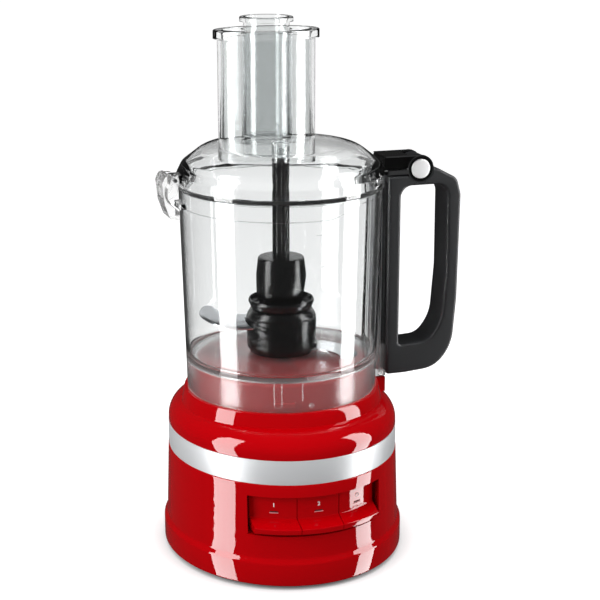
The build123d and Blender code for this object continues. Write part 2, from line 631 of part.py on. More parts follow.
with BuildPart() as bowl:
    slope = (BOWL_TOP_R - BOWL_FOOT_R) / (BOWL_TOP - BOWL_FOOT)

    def inner_r(z):
        """Inside radius of the bowl wall at a height."""
        return BOWL_FOOT_R + slope * (z - BOWL_FOOT) - BOWL_WALL

    add(bowl_outside.part)
    # clear rail for the handle and the interlock rod, and the latch lug
    block(BOWL_FOOT_R - 4, RAIL_X, -RAIL_HALF, RAIL_HALF, BOWL_FOOT + 0.4, BOWL_TOP - 1)
    block(CHANNEL_IN, CHANNEL_OUT, -CHANNEL_HALF, CHANNEL_HALF, BOWL_FOOT, BOWL_TOP, mode=Mode.SUBTRACT)
    for y in (-CHANNEL_HALF + 3.4, CHANNEL_HALF - 3.4):
        block(CHANNEL_IN - 1, CHANNEL_OUT + 1, y - 0.6, y + 0.6, BOWL_FOOT + 0.4, BOWL_TOP - 1)
    block(-LUG_OUT, -BOWL_TOP_R + 2, -10, 10, BOWL_TOP - 13.0, BOWL_TOP - 8.5)
    lathe(
        (CHIMNEY_R + CHIMNEY_WALL, FLOOR_TOP, 1.5),
        (inner_r(FLOOR_TOP), FLOOR_TOP, 6.0),
        (inner_r(BOWL_TOP), BOWL_TOP + 0.01, 0),
        (0, BOWL_TOP + 0.01, 0),
        (0, CHIMNEY_TOP, 0),
        (CHIMNEY_R + CHIMNEY_WALL, CHIMNEY_TOP, 1.2),
        mode=Mode.SUBTRACT,
    )
    lathe(
        (0, BOWL_FOOT - 1, 0),
        (inner_r(BOWL_FOOT), BOWL_FOOT - 1, 0),
        (inner_r(FLOOR_BOTTOM), FLOOR_BOTTOM, 2.0),
        (CHIMNEY_R + 3.4, FLOOR_BOTTOM, 1.0),
        (CHIMNEY_R, FLOOR_BOTTOM + 6, 0),
        (CHIMNEY_R, CHIMNEY_TOP + 1, 0),
        (0, CHIMNEY_TOP + 1, 0),
        mode=Mode.SUBTRACT,
    )
finish(bowl, "bowl")

with BuildPart() as interlock_rod:
    rod_x = (CHANNEL_IN + CHANNEL_OUT) / 2
    block(rod_x - ROD_T / 2, rod_x + ROD_T / 2, -ROD_HALF, ROD_HALF, BOWL_FOOT + 1.5, BOWL_TOP - 1)
finish(interlock_rod, "interlock_rod")

# Closed handle: an outer outline less the finger window, with a knuckle for the hinge pin.
SPINE_OUT = RAIL_X + 11.3
GRIP_OUT = HINGE_X + 37.0
WINDOW_TOP = HANDLE_TOP - 8.8
WINDOW_FOOT = HANDLE_FOOT + 25.3
HANDLE_OUTLINE = [
    (RAIL_X, HANDLE_FOOT, 3.0),
    (RAIL_X, HANDLE_TOP, 0.8),
    (HINGE_X - 6, HANDLE_TOP, 0),
    (HINGE_X + 5, HINGE_Z + 2.2, 0),
    (HINGE_X + 17, HINGE_Z - 1.2, 8.0),
    (GRIP_OUT - 3.7, HINGE_Z - 9.9, 9.0),
    (GRIP_OUT, HANDLE_TOP - 18.2, 10.0),
    (GRIP_OUT - 1.2, HANDLE_FOOT + 62.0, 90.0),
    (GRIP_OUT - 4.6, HANDLE_FOOT + 20.0, 38.0),
    (GRIP_OUT - 20.0, HANDLE_FOOT + 2.2, 26.0),
    (GRIP_OUT - 48.0, HANDLE_FOOT, 30.0),
]
WINDOW_OUTLINE = [
    (SPINE_OUT, WINDOW_FOOT, 3.0),
    (SPINE_OUT, WINDOW_TOP, 10.0),
    (GRIP_OUT - 12.0, WINDOW_TOP, 11.0),
    (GRIP_OUT - 11.6, WINDOW_FOOT + 62.0, 100.0),
    (GRIP_OUT - 15.0, WINDOW_FOOT + 17.0, 34.0),
    (GRIP_OUT - 27.0, WINDOW_FOOT + 1.4, 15.0),
]
SADDLE_R = BOSS_R + TRIM_T + 0.4
with BuildPart() as handle:
    side_plate(HANDLE_OUTLINE, -HANDLE_HALF, HANDLE_HALF)
    side_plate(WINDOW_OUTLINE, -HANDLE_HALF - 1, HANDLE_HALF + 1, mode=Mode.SUBTRACT)
    rims = handle.faces().filter_by(Axis.Y).edges().filter_by(lambda e: e.center().X > RAIL_X + 3)
    fillet(rims, HANDLE_ROUND)
    cross_rod(SADDLE_R, -HANDLE_HALF - 1, HANDLE_HALF + 1, HINGE_X, HINGE_Z, mode=Mode.SUBTRACT)
    cross_rod(SADDLE_R - 1, -KNUCKLE_HALF, KNUCKLE_HALF, HINGE_X, HINGE_Z)
    block(HINGE_X - 6, HINGE_X + 6, -KNUCKLE_HALF, KNUCKLE_HALF, WINDOW_TOP + 1, HINGE_Z - SADDLE_R + 3)
    cross_rod(PIN_R, -HANDLE_HALF - 1, HANDLE_HALF + 1, HINGE_X, HINGE_Z, mode=Mode.SUBTRACT)
finish(handle, "handle")

with BuildPart() as hinge_pin:
    cross_rod(PIN_R - RUN, -CHEEK_OUT - 0.6, CHEEK_OUT + 0.6, HINGE_X, HINGE_Z)
finish(hinge_pin, "hinge_pin")

with BuildPart() as hinge_caps:
    for side in (-1, 1):
        near, far = sorted((side * (CHEEK_OUT + 0.6), side * (HANDLE_HALF + 0.4)))
        cross_rod(CAP_R, near, far, HINGE_X, HINGE_Z)
    rims = hinge_caps.faces().sort_by(Axis.Y)[0].edges() + hinge_caps.faces().sort_by(Axis.Y)[-1].edges()
    fillet(rims, 0.7)
finish(hinge_caps, "hinge_caps")

# ================================================================ lid
with BuildPart() as lid:
    lathe(
        (LID_R - 1.6, LID_SKIRT, 0),
        (LID_R, LID_SKIRT, 0.4),
        (LID_R, LID_RIM_TOP, 2.0),
        (LID_R - 4.0, LID_RIM_TOP + 8, 8.0),
        (LID_R - 22.2, LID_TOP - 2.6, 25.0),
        (0, LID_TOP, 0),
        (0, LID_TOP - LID_WALL, 0),
        (LID_R - 23.0, LID_TOP - 2.6 - LID_WALL, 23.0),
        (LID_R - 7.2, LID_RIM_TOP + 6.5, 6.0),
        (LIP_R - 1.8, LID_RIM_TOP, 0),
        (LIP_R - 1.8, LIP_FOOT, 0),
        (LIP_R, LIP_FOOT, 0.4),
        (LIP_R, LID_SKIRT + GASKET_H, 0),
        (LID_R - 1.6, LID_SKIRT + GASKET_H, 0),
    )
    oval_prism(TUBE_A, TUBE_B, TUBE_FOOT, TUBE_TOP, TUBE_Y)
    bore_a = TUBE_A - TUBE_WALL
    bore_b = TUBE_B - TUBE_WALL
    oval_prism(bore_a, bore_b, TUBE_FOOT - 1, TUBE_TOP + 1, TUBE_Y, mode=Mode.SUBTRACT)
    tube(BOSS_OUT, 0, BOSS_FOOT, LID_TOP - 1)
    with Locations((0, 0, BOSS_FOOT)):
        Cylinder(BOSS_BORE, STEM_TIP_TOP - BOSS_FOOT + 2, align=BOTTOM, mode=Mode.SUBTRACT)
    # tongue under the hinge arm
    tongue_half = CHEEK_OUT - 0.6
    block(LID_R - 2.5, HINGE_X - SADDLE_R - 0.8, -tongue_half, tongue_half, HANDLE_TOP + 1.2, ARM_BOTTOM)
    # ear for the latch
    side_plate(
        [
            (-LID_R + 2.0, LATCH_Z - EAR_R, 0),
            (-LID_R + 2.0, LATCH_Z + EAR_R, 0),
            (LATCH_X, LATCH_Z + EAR_R, 0),
            (LATCH_X, LATCH_Z - EAR_R, 0),
        ],
        -EAR_HALF,
        EAR_HALF,
    )
    cross_rod(EAR_R, -EAR_HALF, EAR_HALF, LATCH_X, LATCH_Z)
    cross_rod(LATCH_PIN_R + RUN, -EAR_HALF - 1, EAR_HALF + 1, LATCH_X, LATCH_Z, mode=Mode.SUBTRACT)
finish(lid, "lid")

with BuildPart() as lid_gasket:
    tube(LID_R - 2.2, LIP_R + 0.5, LID_SKIRT - 0.4, LID_SKIRT + GASKET_H - 0.3)
    fillet(lid_gasket.edges().group_by(Axis.Z)[0], 0.8)
finish(lid_gasket, "lid_gasket")

ARM_OUTLINE = [
    (LID_R + 0.6, ARM_BOTTOM, 0),
    (LID_R + 0.6, ARM_TOP, 1.5),
    (HINGE_X, ARM_TOP, 0),
    (HINGE_X, ARM_BOTTOM, 0),
]
KNUCKLE_SPACE = SADDLE_R - 1 + FIT
with BuildPart() as hinge_arm:
    side_plate(ARM_OUTLINE, -CHEEK_OUT, CHEEK_OUT)
    cross_rod(BOSS_R, -HANDLE_HALF + 0.2, HANDLE_HALF - 0.2, HINGE_X, HINGE_Z)
    cross_rod(KNUCKLE_SPACE, -CHEEK_IN, CHEEK_IN, HINGE_X, HINGE_Z, mode=Mode.SUBTRACT)
    block(HINGE_X - 9, HINGE_X + 20, -CHEEK_IN, CHEEK_IN, ARM_BOTTOM - 20, ARM_TOP + 1, mode=Mode.SUBTRACT)
    for side in (-1, 1):
        near, far = sorted((side * (CHEEK_OUT + 0.2), side * (HANDLE_HALF + 1)))
        cross_rod(CAP_R + FIT, near, far, HINGE_X, HINGE_Z, mode=Mode.SUBTRACT)
    cross_rod(PIN_R, -HANDLE_HALF, HANDLE_HALF, HINGE_X, HINGE_Z, mode=Mode.SUBTRACT)
finish(hinge_arm, "hinge_arm")

# Bright outline on the front and rear of the arm: over its top edge, round the boss and
# back along the tongue.
with BuildPart() as hinge_trim:
    for side in (-1, 1):
        near, far = sorted((side * (CHEEK_OUT + 0.1), side * (HANDLE_HALF - 0.2)))
        cross_rod(BOSS_R + TRIM_T, near, far, HINGE_X, HINGE_Z)
        block(LID_R + 1.2, HINGE_X, near, far, ARM_TOP - 0.4, ARM_TOP + 0.4)
        block(LID_R + 3.5, HINGE_X - BOSS_R + 1.5, near, far, HANDLE_TOP + 1.2, ARM_BOTTOM - 0.8)
        cross_rod(BOSS_R, near - 1, far + 1, HINGE_X, HINGE_Z, mode=Mode.SUBTRACT)
finish(hinge_trim, "hinge_trim")

with BuildPart() as arm_screws:
    for y in (-5.5, 5.5):
        tube(2.4, 0, HANDLE_TOP + 0.5, HANDLE_TOP + 1.2, LID_R + 9, y)
finish(arm_screws, "arm_screws")

with BuildPart() as latch_pin:
    cross_rod(LATCH_PIN_R, -LATCH_HALF + 1, LATCH_HALF - 1, LATCH_X, LATCH_Z)
finish(latch_pin, "latch_pin")

NOSE_X = -LUG_OUT - 0.4
PLATE_IN = LATCH_X - EAR_R - EAR_GAP
LATCH_OUTLINE = [
    (PLATE_IN, LATCH_Z + 4.6, 1.2),
    (PLATE_IN - 4.6, LATCH_Z + 4.0, 3.0),
    (PLATE_IN - 7.2, LATCH_Z - 2.0, 4.0),
    (PLATE_IN - 5.6, LATCH_Z - 18.0, 10.0),
    (PLATE_IN - 1.0, LATCH_Z - 31.0, 2.5),
    (NOSE_X, LATCH_Z - 31.5, 1.0),
    (NOSE_X, LATCH_Z - 25.0, 1.2),
    (PLATE_IN + 0.4, LATCH_Z - 20.0, 2.0),
    (PLATE_IN - 2.4, LATCH_Z - 14.0, 3.0),
    (PLATE_IN - 2.0, LATCH_Z - 6.0, 2.0),
    (PLATE_IN, LATCH_Z - 4.0, 1.0),
]
CHEEK_OUTLINE = [
    (LATCH_X + 3.6, LATCH_Z + 3.6, 3.4),
    (PLATE_IN - 2.0, LATCH_Z + 3.9, 0),
    (PLATE_IN - 3.5, LATCH_Z - 16.0, 0),
    (LATCH_X + 1.0, LATCH_Z - 12.0, 4.0),
]
with BuildPart() as latch:
    side_plate(LATCH_OUTLINE, -LATCH_HALF, LATCH_HALF)
    for side in (-1, 1):
        near, far = sorted((side * (EAR_HALF + EAR_GAP), side * LATCH_HALF))
        side_plate(CHEEK_OUTLINE, near, far)
    cross_rod(LATCH_PIN_R, -LATCH_HALF + 1, LATCH_HALF - 1, LATCH_X, LATCH_Z, mode=Mode.SUBTRACT)
finish(latch, "latch")

# ================================================================ pushers
PUSHER_A = TUBE_A - TUBE_WALL - PUSHER_GAP
PUSHER_B = TUBE_B - TUBE_WALL - PUSHER_GAP
SLEEVE_WALL = 1.6
with BuildPart() as large_pusher:
    oval_prism(PUSHER_A, PUSHER_B, PUSHER_FOOT, FLANGE_BOTTOM + 0.1, TUBE_Y)
    oval_prism(FLANGE_A, FLANGE_B, FLANGE_BOTTOM, FLANGE_TOP, TUBE_Y)
    fillet(large_pusher.edges().group_by(Axis.Z)[-1], 1.2)
    cup_a = PUSHER_A - PUSHER_WALL
    cup_b = PUSHER_B - PUSHER_WALL
    oval_prism(cup_a, cup_b, PUSHER_FOOT + PUSHER_WALL, FLANGE_TOP + 1, TUBE_Y, mode=Mode.SUBTRACT)
    tube(SLEEVE_BORE + SLEEVE_WALL, 0, PUSHER_FOOT, FLANGE_TOP, 0, TUBE_Y)
    with Locations((0, TUBE_Y, PUSHER_FOOT - 1)):
        Cylinder(SLEEVE_BORE, FLANGE_TOP - PUSHER_FOOT + 2, align=BOTTOM, mode=Mode.SUBTRACT)
finish(large_pusher, "large_pusher")

SMALL_R = SLEEVE_BORE - SMALL_GAP
with BuildPart() as small_pusher:
    tube(SMALL_R, 0, SMALL_FOOT, SMALL_FLANGE + 0.1, 0, TUBE_Y)
    tube(SMALL_FLANGE_R, 0, SMALL_FLANGE, SMALL_TOP, 0, TUBE_Y)
    fillet(small_pusher.edges().group_by(Axis.Z)[-1], 1.0)
    with Locations((0, TUBE_Y, SMALL_FOOT + PUSHER_WALL)):
        Cylinder(SMALL_R - PUSHER_WALL, SMALL_TOP - SMALL_FOOT, align=BOTTOM, mode=Mode.SUBTRACT)
finish(small_pusher, "small_pusher")

# ================================================================ blade
with BuildPart() as drive_stem:
    tube(STEM_R, 0, CAP_TOP - 14, STEM_TOP)
    with BuildSketch(Plane.XY.offset(CAP_TOP + 0.6)) as flutes:
        with PolarLocations(STEM_R + 0.5, STEM_FLUTES):
            Circle(1.25)
    extrude(flutes.sketch, amount=STEM_TOP - CAP_TOP, mode=Mode.SUBTRACT)
    tube(STEM_TIP_R, 0, STEM_TOP, STEM_TIP_TOP)
    chamfer(drive_stem.edges().group_by(Axis.Z)[-1], 0.8)
finish(drive_stem, "drive_stem")


def sickle(z, turn, pitch):
    """A curved blade as a sketch: pitched about its length, then turned about the spindle."""
    root = HUB_R - 4.0
    heel = (-BLADE_OUT * 0.94, BLADE_OUT * 0.17)
    nose = (-BLADE_OUT * 0.91, BLADE_OUT * 0.35)
    hook = (-BLADE_OUT * 0.78, BLADE_OUT * 0.38)
    with BuildSketch(Plane.XY.offset(z)) as blade:
        with BuildLine():
            ThreePointArc((-root, -15.0), (-HUB_R - 22, -8.0), heel)
            ThreePointArc(heel, (-BLADE_OUT * 0.945, BLADE_OUT * 0.27), nose)
            ThreePointArc(nose, (-BLADE_OUT * 0.855, BLADE_OUT * 0.395), hook)
            ThreePointArc(hook, (-HUB_R - 13, 13.0), (-root, 9.0))
            Line((-root, 9.0), (-root, -15.0))
        make_face()
    return blade.sketch.rotate(Axis((0, 0, z), (1, 0, 0)), pitch).rotate(Axis.Z, turn)


# height, turn about the spindle and pitch of each blade
BLADES = {"blade_upper": (BLADE_HIGH, -6.0, 12.0), "blade_lower": (BLADE_LOW, 150.0, 0.0)}

LIP_GAP = 1.7  # half the distance between the two lips
LIP_SLANT = math.degrees(math.atan2(BLADE_HIGH - BLADE_LOW, 2 * HUB_R))
with BuildPart() as round_lip:
    tube(HUB_R + 1.4, HUB_R - 4.0, HUB_FOOT, HUB_SHOULDER)

with BuildPart() as blade_hub:
    lathe(
        (HUB_BORE, HUB_FOOT, 0),
        (HUB_R - 3.0, HUB_FOOT, 1.5),
        (HUB_R - 0.4, HUB_FOOT + 5, 4.0),
        (HUB_R, HUB_SHOULDER - 7, 0),
        (HUB_R - 0.9, HUB_SHOULDER - 6.4, 0),
        (HUB_R - 0.6, HUB_SHOULDER - 5.4, 0.5),
        (HUB_R - 3.5, HUB_SHOULDER, 3.0),
        (HUB_R - 7.0, HUB_SHOULDER + 0.6, 0),
        (HUB_R - 7.0, HUB_SHOULDER + 3.4, 0),
        (0, HUB_SHOULDER + 3.4, 0),
        (0, HUB_BORE_TOP, 0),
        (HUB_BORE, HUB_BORE_TOP, 0),
    )
    lathe(
        (0, HUB_BORE_TOP, 0),
        (BOSS_LOW_R, HUB_BORE_TOP, 0),
        (BOSS_MID_R, CAP_FOOT, 2.0),
        (CAP_TOP_R, CAP_TOP, 1.6),
        (0, CAP_TOP, 0),
    )
    # flats that lean in towards the foot of the boss
    with PolarLocations(BOSS_MID_R + 2.1, 7, start_angle=-120):
        with Locations(Location((0, 0, (DISH_TOP + CAP_FOOT) / 2 - 3), (0, 10, 0))):
            Box(8.0, 24, 23, mode=Mode.SUBTRACT)
    with BuildSketch(Plane.XY.offset(HUB_BORE_TOP - 0.5)):
        RegularPolygon(HEX_AF / 2 + FIT, 6, major_radius=False)
    extrude(amount=HEX_TOP - HUB_BORE_TOP + 2, mode=Mode.SUBTRACT)
    with Locations((0, 0, CAP_TOP - 14)):
        Cylinder(STEM_R, 20, align=BOTTOM, mode=Mode.SUBTRACT)
    # two lips that run aslant round the hub from the upper blade down to the lower one
    for lift in (-LIP_GAP, LIP_GAP):
        with Locations(Location((0, 0, (BLADE_LOW + BLADE_HIGH) / 2 + lift), (0, LIP_SLANT, 0))):
            lip = Cylinder(HUB_R / math.cos(math.radians(LIP_SLANT)) + 4, 1.6, mode=Mode.PRIVATE)
        add(lip & round_lip.part)
    for blade_set in BLADES.values():
        extrude(sickle(*blade_set), amount=BLADE_T, mode=Mode.SUBTRACT)
finish(blade_hub, "blade_hub")

with BuildPart() as hub_dish:
    lathe(
        (HUB_R - 6.8, HUB_SHOULDER + 0.9, 0),
        (DISH_R - 2.2, HUB_SHOULDER + 0.9, 1.0),
        (DISH_R, DISH_TOP - 2.0, 2.0),
        (DISH_R - 0.6, DISH_TOP, 0.3),
        (DISH_R - 1.6, DISH_TOP, 0.3),
        (DISH_R - 2.6, HUB_SHOULDER + 3.6, 2.0),
        (HUB_R - 6.8, HUB_SHOULDER + 3.3, 0),
    )
finish(hub_dish, "hub_dish")

for blade_name, blade_set in BLADES.items():
    with BuildPart() as blade:
        extrude(sickle(*blade_set), amount=BLADE_T)
        top_edges = blade.faces().filter_by(lambda f: f.normal_at().Z > 0.9).sort_by(SortBy.AREA)[-1].edges()
        bevels = top_edges.filter_by(lambda e: math.hypot(e.center().X, e.center().Y) > HUB_R)
        chamfer(bevels.sort_by(Edge.length)[-1], BLADE_T * 0.45, 2.2)
    finish(blade, blade_name)
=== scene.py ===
import json
import math

import bmesh
import bpy
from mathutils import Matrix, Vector

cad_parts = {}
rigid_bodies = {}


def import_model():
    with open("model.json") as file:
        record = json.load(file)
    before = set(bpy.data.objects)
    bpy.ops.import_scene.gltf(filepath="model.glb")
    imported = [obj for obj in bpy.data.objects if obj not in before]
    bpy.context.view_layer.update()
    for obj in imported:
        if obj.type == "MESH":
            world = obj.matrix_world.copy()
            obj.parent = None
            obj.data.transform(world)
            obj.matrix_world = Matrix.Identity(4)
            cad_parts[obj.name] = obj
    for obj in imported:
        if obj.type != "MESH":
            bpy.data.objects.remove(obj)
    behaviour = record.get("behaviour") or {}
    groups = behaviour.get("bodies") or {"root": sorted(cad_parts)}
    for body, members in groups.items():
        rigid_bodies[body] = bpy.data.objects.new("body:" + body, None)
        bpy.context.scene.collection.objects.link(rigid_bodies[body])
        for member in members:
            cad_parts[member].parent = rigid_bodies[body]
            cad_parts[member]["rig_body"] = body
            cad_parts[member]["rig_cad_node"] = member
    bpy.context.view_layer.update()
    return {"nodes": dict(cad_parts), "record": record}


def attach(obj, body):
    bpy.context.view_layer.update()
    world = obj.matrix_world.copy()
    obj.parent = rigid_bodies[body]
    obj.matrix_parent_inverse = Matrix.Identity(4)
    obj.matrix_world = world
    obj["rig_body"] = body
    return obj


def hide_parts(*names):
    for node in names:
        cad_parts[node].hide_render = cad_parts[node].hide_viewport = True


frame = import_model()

# A countertop food processor in metres, in the frame of its mechanical model: +Z up,
# -Y the front with the keys, +X the handle side, origin on the spindle axis at the floor.

MM = 0.001
NODE_BODY = {n: b for b, ns in frame["record"]["behaviour"]["bodies"].items() for n in ns}
NODE_SLOT = {s["node"]: s["material_slot"] for s in frame["record"]["subparts"]}


# ---------------------------------------------------------------- material helpers
def srgb(code):
    """Linear RGBA of an sRGB hex colour."""
    parts = [int(code[i : i + 2], 16) / 255 for i in (1, 3, 5)]
    linear = [p / 12.92 if p <= 0.04045 else ((p + 0.055) / 1.055) ** 2.4 for p in parts]
    return (*linear, 1.0)


def add_node(tree, kind, links=None, **settings):
    """Adds a node; settings are its properties or input values, links join its inputs."""
    node = tree.nodes.new(kind)
    for name, value in settings.items():
        if hasattr(node, name):
            setattr(node, name, value)
        else:
            node.inputs[name.replace("_", " ")].default_value = value
    for socket, source in (links or {}).items():
        tree.links.new(source, node.inputs[socket])
    return node


def new_material(name, **settings):
    """A Principled material with constant values on the shader's own sockets."""
    material = bpy.data.materials.new(name)
    material.use_nodes = True
    tree = material.node_tree
    shader = tree.nodes["Principled BSDF"]
    for socket, value in settings.items():
        shader.inputs[socket.replace("_", " ")].default_value = value
    return material, tree, shader


def grain(tree, shader, size_mm, depth_mm, detail=2.0):
    """A fine grain or waviness of the surface: noise of a real size as bump."""
    place = add_node(tree, "ShaderNodeTexCoord")
    noise = add_node(
        tree,
        "ShaderNodeTexNoise",
        {"Vector": place.outputs["Object"]},
        Scale=1 / (size_mm * MM),
        Detail=detail,
    )
    bump = add_node(
        tree, "ShaderNodeBump", {"Height": noise.outputs["Fac"]}, Strength=1.0, Distance=depth_mm * MM
    )
    tree.links.new(bump.outputs["Normal"], shader.inputs["Normal"])


# ---------------------------------------------------------------- materials
def make_red_gloss():
    # ABS moulded in red and lacquered: deep colour under a hard mirror-like clear coat.
    material, tree, shader = new_material(
        "red_lacquered_abs",
        Base_Color=srgb("#C00008"),
        Roughness=0.4,
        IOR=1.52,
        Specular_IOR_Level=0.0,
        Coat_Weight=1.0,
        Coat_Roughness=0.03,
        Coat_IOR=1.5,
    )
    grain(tree, shader, 9.0, 0.012, detail=1.0)
    return material


def make_satin_band():
    # Anodised aluminium strip, brushed round the machine: a soft sheen with level streaks.
    material, tree, shader = new_material(
        "anodised_aluminium_band", Base_Color=srgb("#E4E6E8"), Metallic=0.25, Roughness=0.42
    )
    place = add_node(tree, "ShaderNodeTexCoord")
    lines = add_node(tree, "ShaderNodeMapping", {"Vector": place.outputs["Object"]}, Scale=(40, 40, 6000))
    noise = add_node(tree, "ShaderNodeTexNoise", {"Vector": lines.outputs["Vector"]}, Scale=1.0, Detail=2.0)
    rough = add_node(
        tree, "ShaderNodeMapRange", {"Value": noise.outputs["Fac"]}, To_Min=0.38, To_Max=0.48
    )
    tree.links.new(rough.outputs["Result"], shader.inputs["Roughness"])
    return material


def make_clear(name, tint="#FFFFFF", frost_below=None):
    # Polished SAN, injection moulded: clear, with bright crisp edges.
    material, tree, shader = new_material(
        name, Base_Color=srgb(tint), Roughness=0.0, IOR=1.45, Transmission_Weight=1.0
    )
    if frost_below:
        # the skirt and floor are spark-eroded in the tool: rough and slightly milky
        place = add_node(tree, "ShaderNodeTexCoord")
        parts = add_node(tree, "ShaderNodeSeparateXYZ", {"Vector": place.outputs["Object"]})
        for socket, frosted, plain in (("Roughness", 0.20, 0.0), ("Transmission Weight", 0.965, 1.0)):
            frost = add_node(
                tree,
                "ShaderNodeMapRange",
                {"Value": parts.outputs["Z"]},
                From_Min=frost_below,
                From_Max=frost_below + 0.5 * MM,
                To_Min=frosted,
                To_Max=plain,
            )
            tree.links.new(frost.outputs["Result"], shader.inputs[socket])
    # lamp light and soft light go straight through, so that what stands inside is lit
    path = add_node(tree, "ShaderNodeLightPath")
    soft = add_node(
        tree,
        "ShaderNodeMath",
        {0: path.outputs["Is Shadow Ray"], 1: path.outputs["Is Diffuse Ray"]},
        operation="MAXIMUM",
    )
    through = add_node(tree, "ShaderNodeBsdfTransparent", Color=srgb("#F4F4F4"))
    mix = add_node(tree, "ShaderNodeMixShader", {0: soft.outputs[0]})
    tree.links.new(shader.outputs["BSDF"], mix.inputs[1])
    tree.links.new(through.outputs["BSDF"], mix.inputs[2])
    tree.links.new(mix.outputs["Shader"], tree.nodes["Material Output"].inputs["Surface"])
    return material


def make_black_satin():
    # Glass-filled nylon with an etched mould: charcoal, low sheen, fine even grain.
    material, tree, shader = new_material(
        "black_etched_nylon", Base_Color=srgb("#242527"), Roughness=0.46, IOR=1.5
    )
    grain(tree, shader, 0.5, 0.05)
    return material


def make_black_gloss():
    # Polished acetal: near black with clear reflections.
    material, tree, shader = new_material(
        "black_polished_acetal", Base_Color=srgb("#080808"), Roughness=0.2, IOR=1.45
    )
    grain(tree, shader, 6.0, 0.02, detail=1.0)
    return material


def make_dark_plastic():
    # Plain black polypropylene, as moulded.
    material, tree, shader = new_material(
        "black_polypropylene", Base_Color=srgb("#1C1D1F"), Roughness=0.5, IOR=1.49
    )
    grain(tree, shader, 0.8, 0.04)
    return material


def make_white_plastic():
    # Natural acetal, as moulded: off-white with a soft sheen.
    material, tree, shader = new_material(
        "natural_acetal", Base_Color=srgb("#C9CCCE"), Roughness=0.35, IOR=1.48
    )
    grain(tree, shader, 1.5, 0.02)
    return material


def make_matt(name, colour):
    # Rubber, silicone, ink, pressed carbon, board lacquer, painted slot shade and lip highlight: dull, with
    # a fine uneven skin.
    material, tree, shader = new_material(name, Base_Color=srgb(colour), Roughness=0.7, IOR=1.5)
    grain(tree, shader, 0.6, 0.05)
    return material


def make_metal(name, colour, rough, size_mm=0.4):
    # Turned, ground, drawn, blasted or plated metal: a mirror dulled by a grain of the finish.
    material, tree, shader = new_material(name, Base_Color=srgb(colour), Metallic=1.0, Roughness=rough)
    grain(tree, shader, size_mm, 0.01)
    return material


MATERIALS = {
    "red_enamel_plastic": make_red_gloss(),
    "satin_band": make_satin_band(),
    "clear_plastic": make_clear("clear_san", "#F7F8F8"),
    "black_satin_plastic": make_black_satin(),
    "black_gloss_plastic": make_black_gloss(),
    "dark_plastic": make_dark_plastic(),
    "white_plastic": make_white_plastic(),
    "black_rubber": make_matt("black_tpe_rubber", "#191919"),
    "seal_rubber": make_matt("black_silicone_seal", "#0C0C0C"),
    "stainless": make_metal("turned_stainless_steel", "#B9BABC", 0.25),
    "blade_steel": make_metal("ground_blade_steel", "#D3D5D8", 0.16),
    "chrome_trim": make_metal("chromed_trim", "#E3E4E6", 0.07, 3.0),
    "satin_cap": make_metal("bead_blasted_aluminium_cap", "#F6F6F6", 0.6, 0.3),
    "steel_core": make_metal("laminated_core_steel", "#77797C", 0.45),
    "copper_winding": make_metal("enamelled_copper_wire", "#B4622E", 0.3),
    "carbon": make_matt("pressed_carbon", "#1A1A1A"),
    "board_green": make_matt("solder_mask_board", "#0F4D27"),
    "spring_steel": make_metal("drawn_spring_steel", "#8E9093", 0.3),
}
SKIRT_TOP = 166.4 * MM  # the bowl is frosted up to here
ABOVE_ALL = 1.0  # higher than the machine, for what is frosted all over
FROSTED_BOWL = make_clear("clear_san_frosted_skirt", "#F7F8F8", frost_below=SKIRT_TOP)
FROST = make_clear("clear_san_etched", "#FFFFFF", frost_below=ABOVE_ALL)


# ---------------------------------------------------------------- smooth copies of moulded pieces
WELD = 0.002 * MM
SHARP_ANGLE = math.radians(38)  # edges that turn more than this stay sharp


def smooth_copy(node, material):
    """A merged, smooth-shaded copy of a mechanical node that stands for it."""
    source = frame["nodes"][node]
    piece = source.copy()
    piece.data = source.data.copy()
    piece.parent = None
    piece.name = node + "_shell"
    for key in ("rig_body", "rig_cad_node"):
        if key in piece:
            del piece[key]
    bpy.context.collection.objects.link(piece)
    mesh = bmesh.new()
    mesh.from_mesh(piece.data)
    bmesh.ops.remove_doubles(mesh, verts=mesh.verts, dist=WELD)
    mesh.to_mesh(piece.data)
    mesh.free()
    if piece.data.has_custom_normals:
        with bpy.context.temp_override(object=piece, active_object=piece, selected_objects=[piece]):
            bpy.ops.mesh.customdata_custom_splitnormals_clear()
    bpy.ops.object.select_all(action="DESELECT")
    piece.select_set(True)
    bpy.context.view_layer.objects.active = piece
    bpy.ops.object.shade_smooth_by_angle(angle=SHARP_ANGLE)
    piece.data.materials.clear()
    piece.data.materials.append(material)
    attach(piece, NODE_BODY[node])
    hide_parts(node)


SMOOTH_NODES = [
    "base_housing", "top_cover", "bowl_collar", "trim_band", "key_low", "key_high", "key_pulse",
    "bowl", "lid", "large_pusher", "small_pusher", "latch", "handle", "hinge_arm", "hinge_trim",
    "hinge_caps", "blade_hub", "hub_dish", "drive_stem", "blade_upper", "blade_lower", "lid_gasket",
]
OWN_FINISH = {"bowl": FROSTED_BOWL, "latch": FROST}
for node_name in SMOOTH_NODES:
    smooth_copy(node_name, OWN_FINISH.get(node_name, MATERIALS[NODE_SLOT[node_name]]))

for node_name, node_object in frame["nodes"].items():
    node_object.data.materials.clear()
    node_object.data.materials.append(MATERIALS[NODE_SLOT[node_name]])


# ---------------------------------------------------------------- printed and moulded details
INK = make_matt("pad_printed_ink", "#FFFFFF")
# Each key's indented slot is drawn as a dark pill that is painted shade, with a pale pink strip under it
# that is a painted highlight on the slot's lower lip.
SLOT_PAINTED_SHADE = make_matt("slot_painted_shade", "#2A0003")
LIP_PAINTED_HIGHLIGHT = make_matt("slot_lip_painted_highlight", "#E8989C")
GREY_INK = make_matt("grey_level_ink", "#B9BCBE")

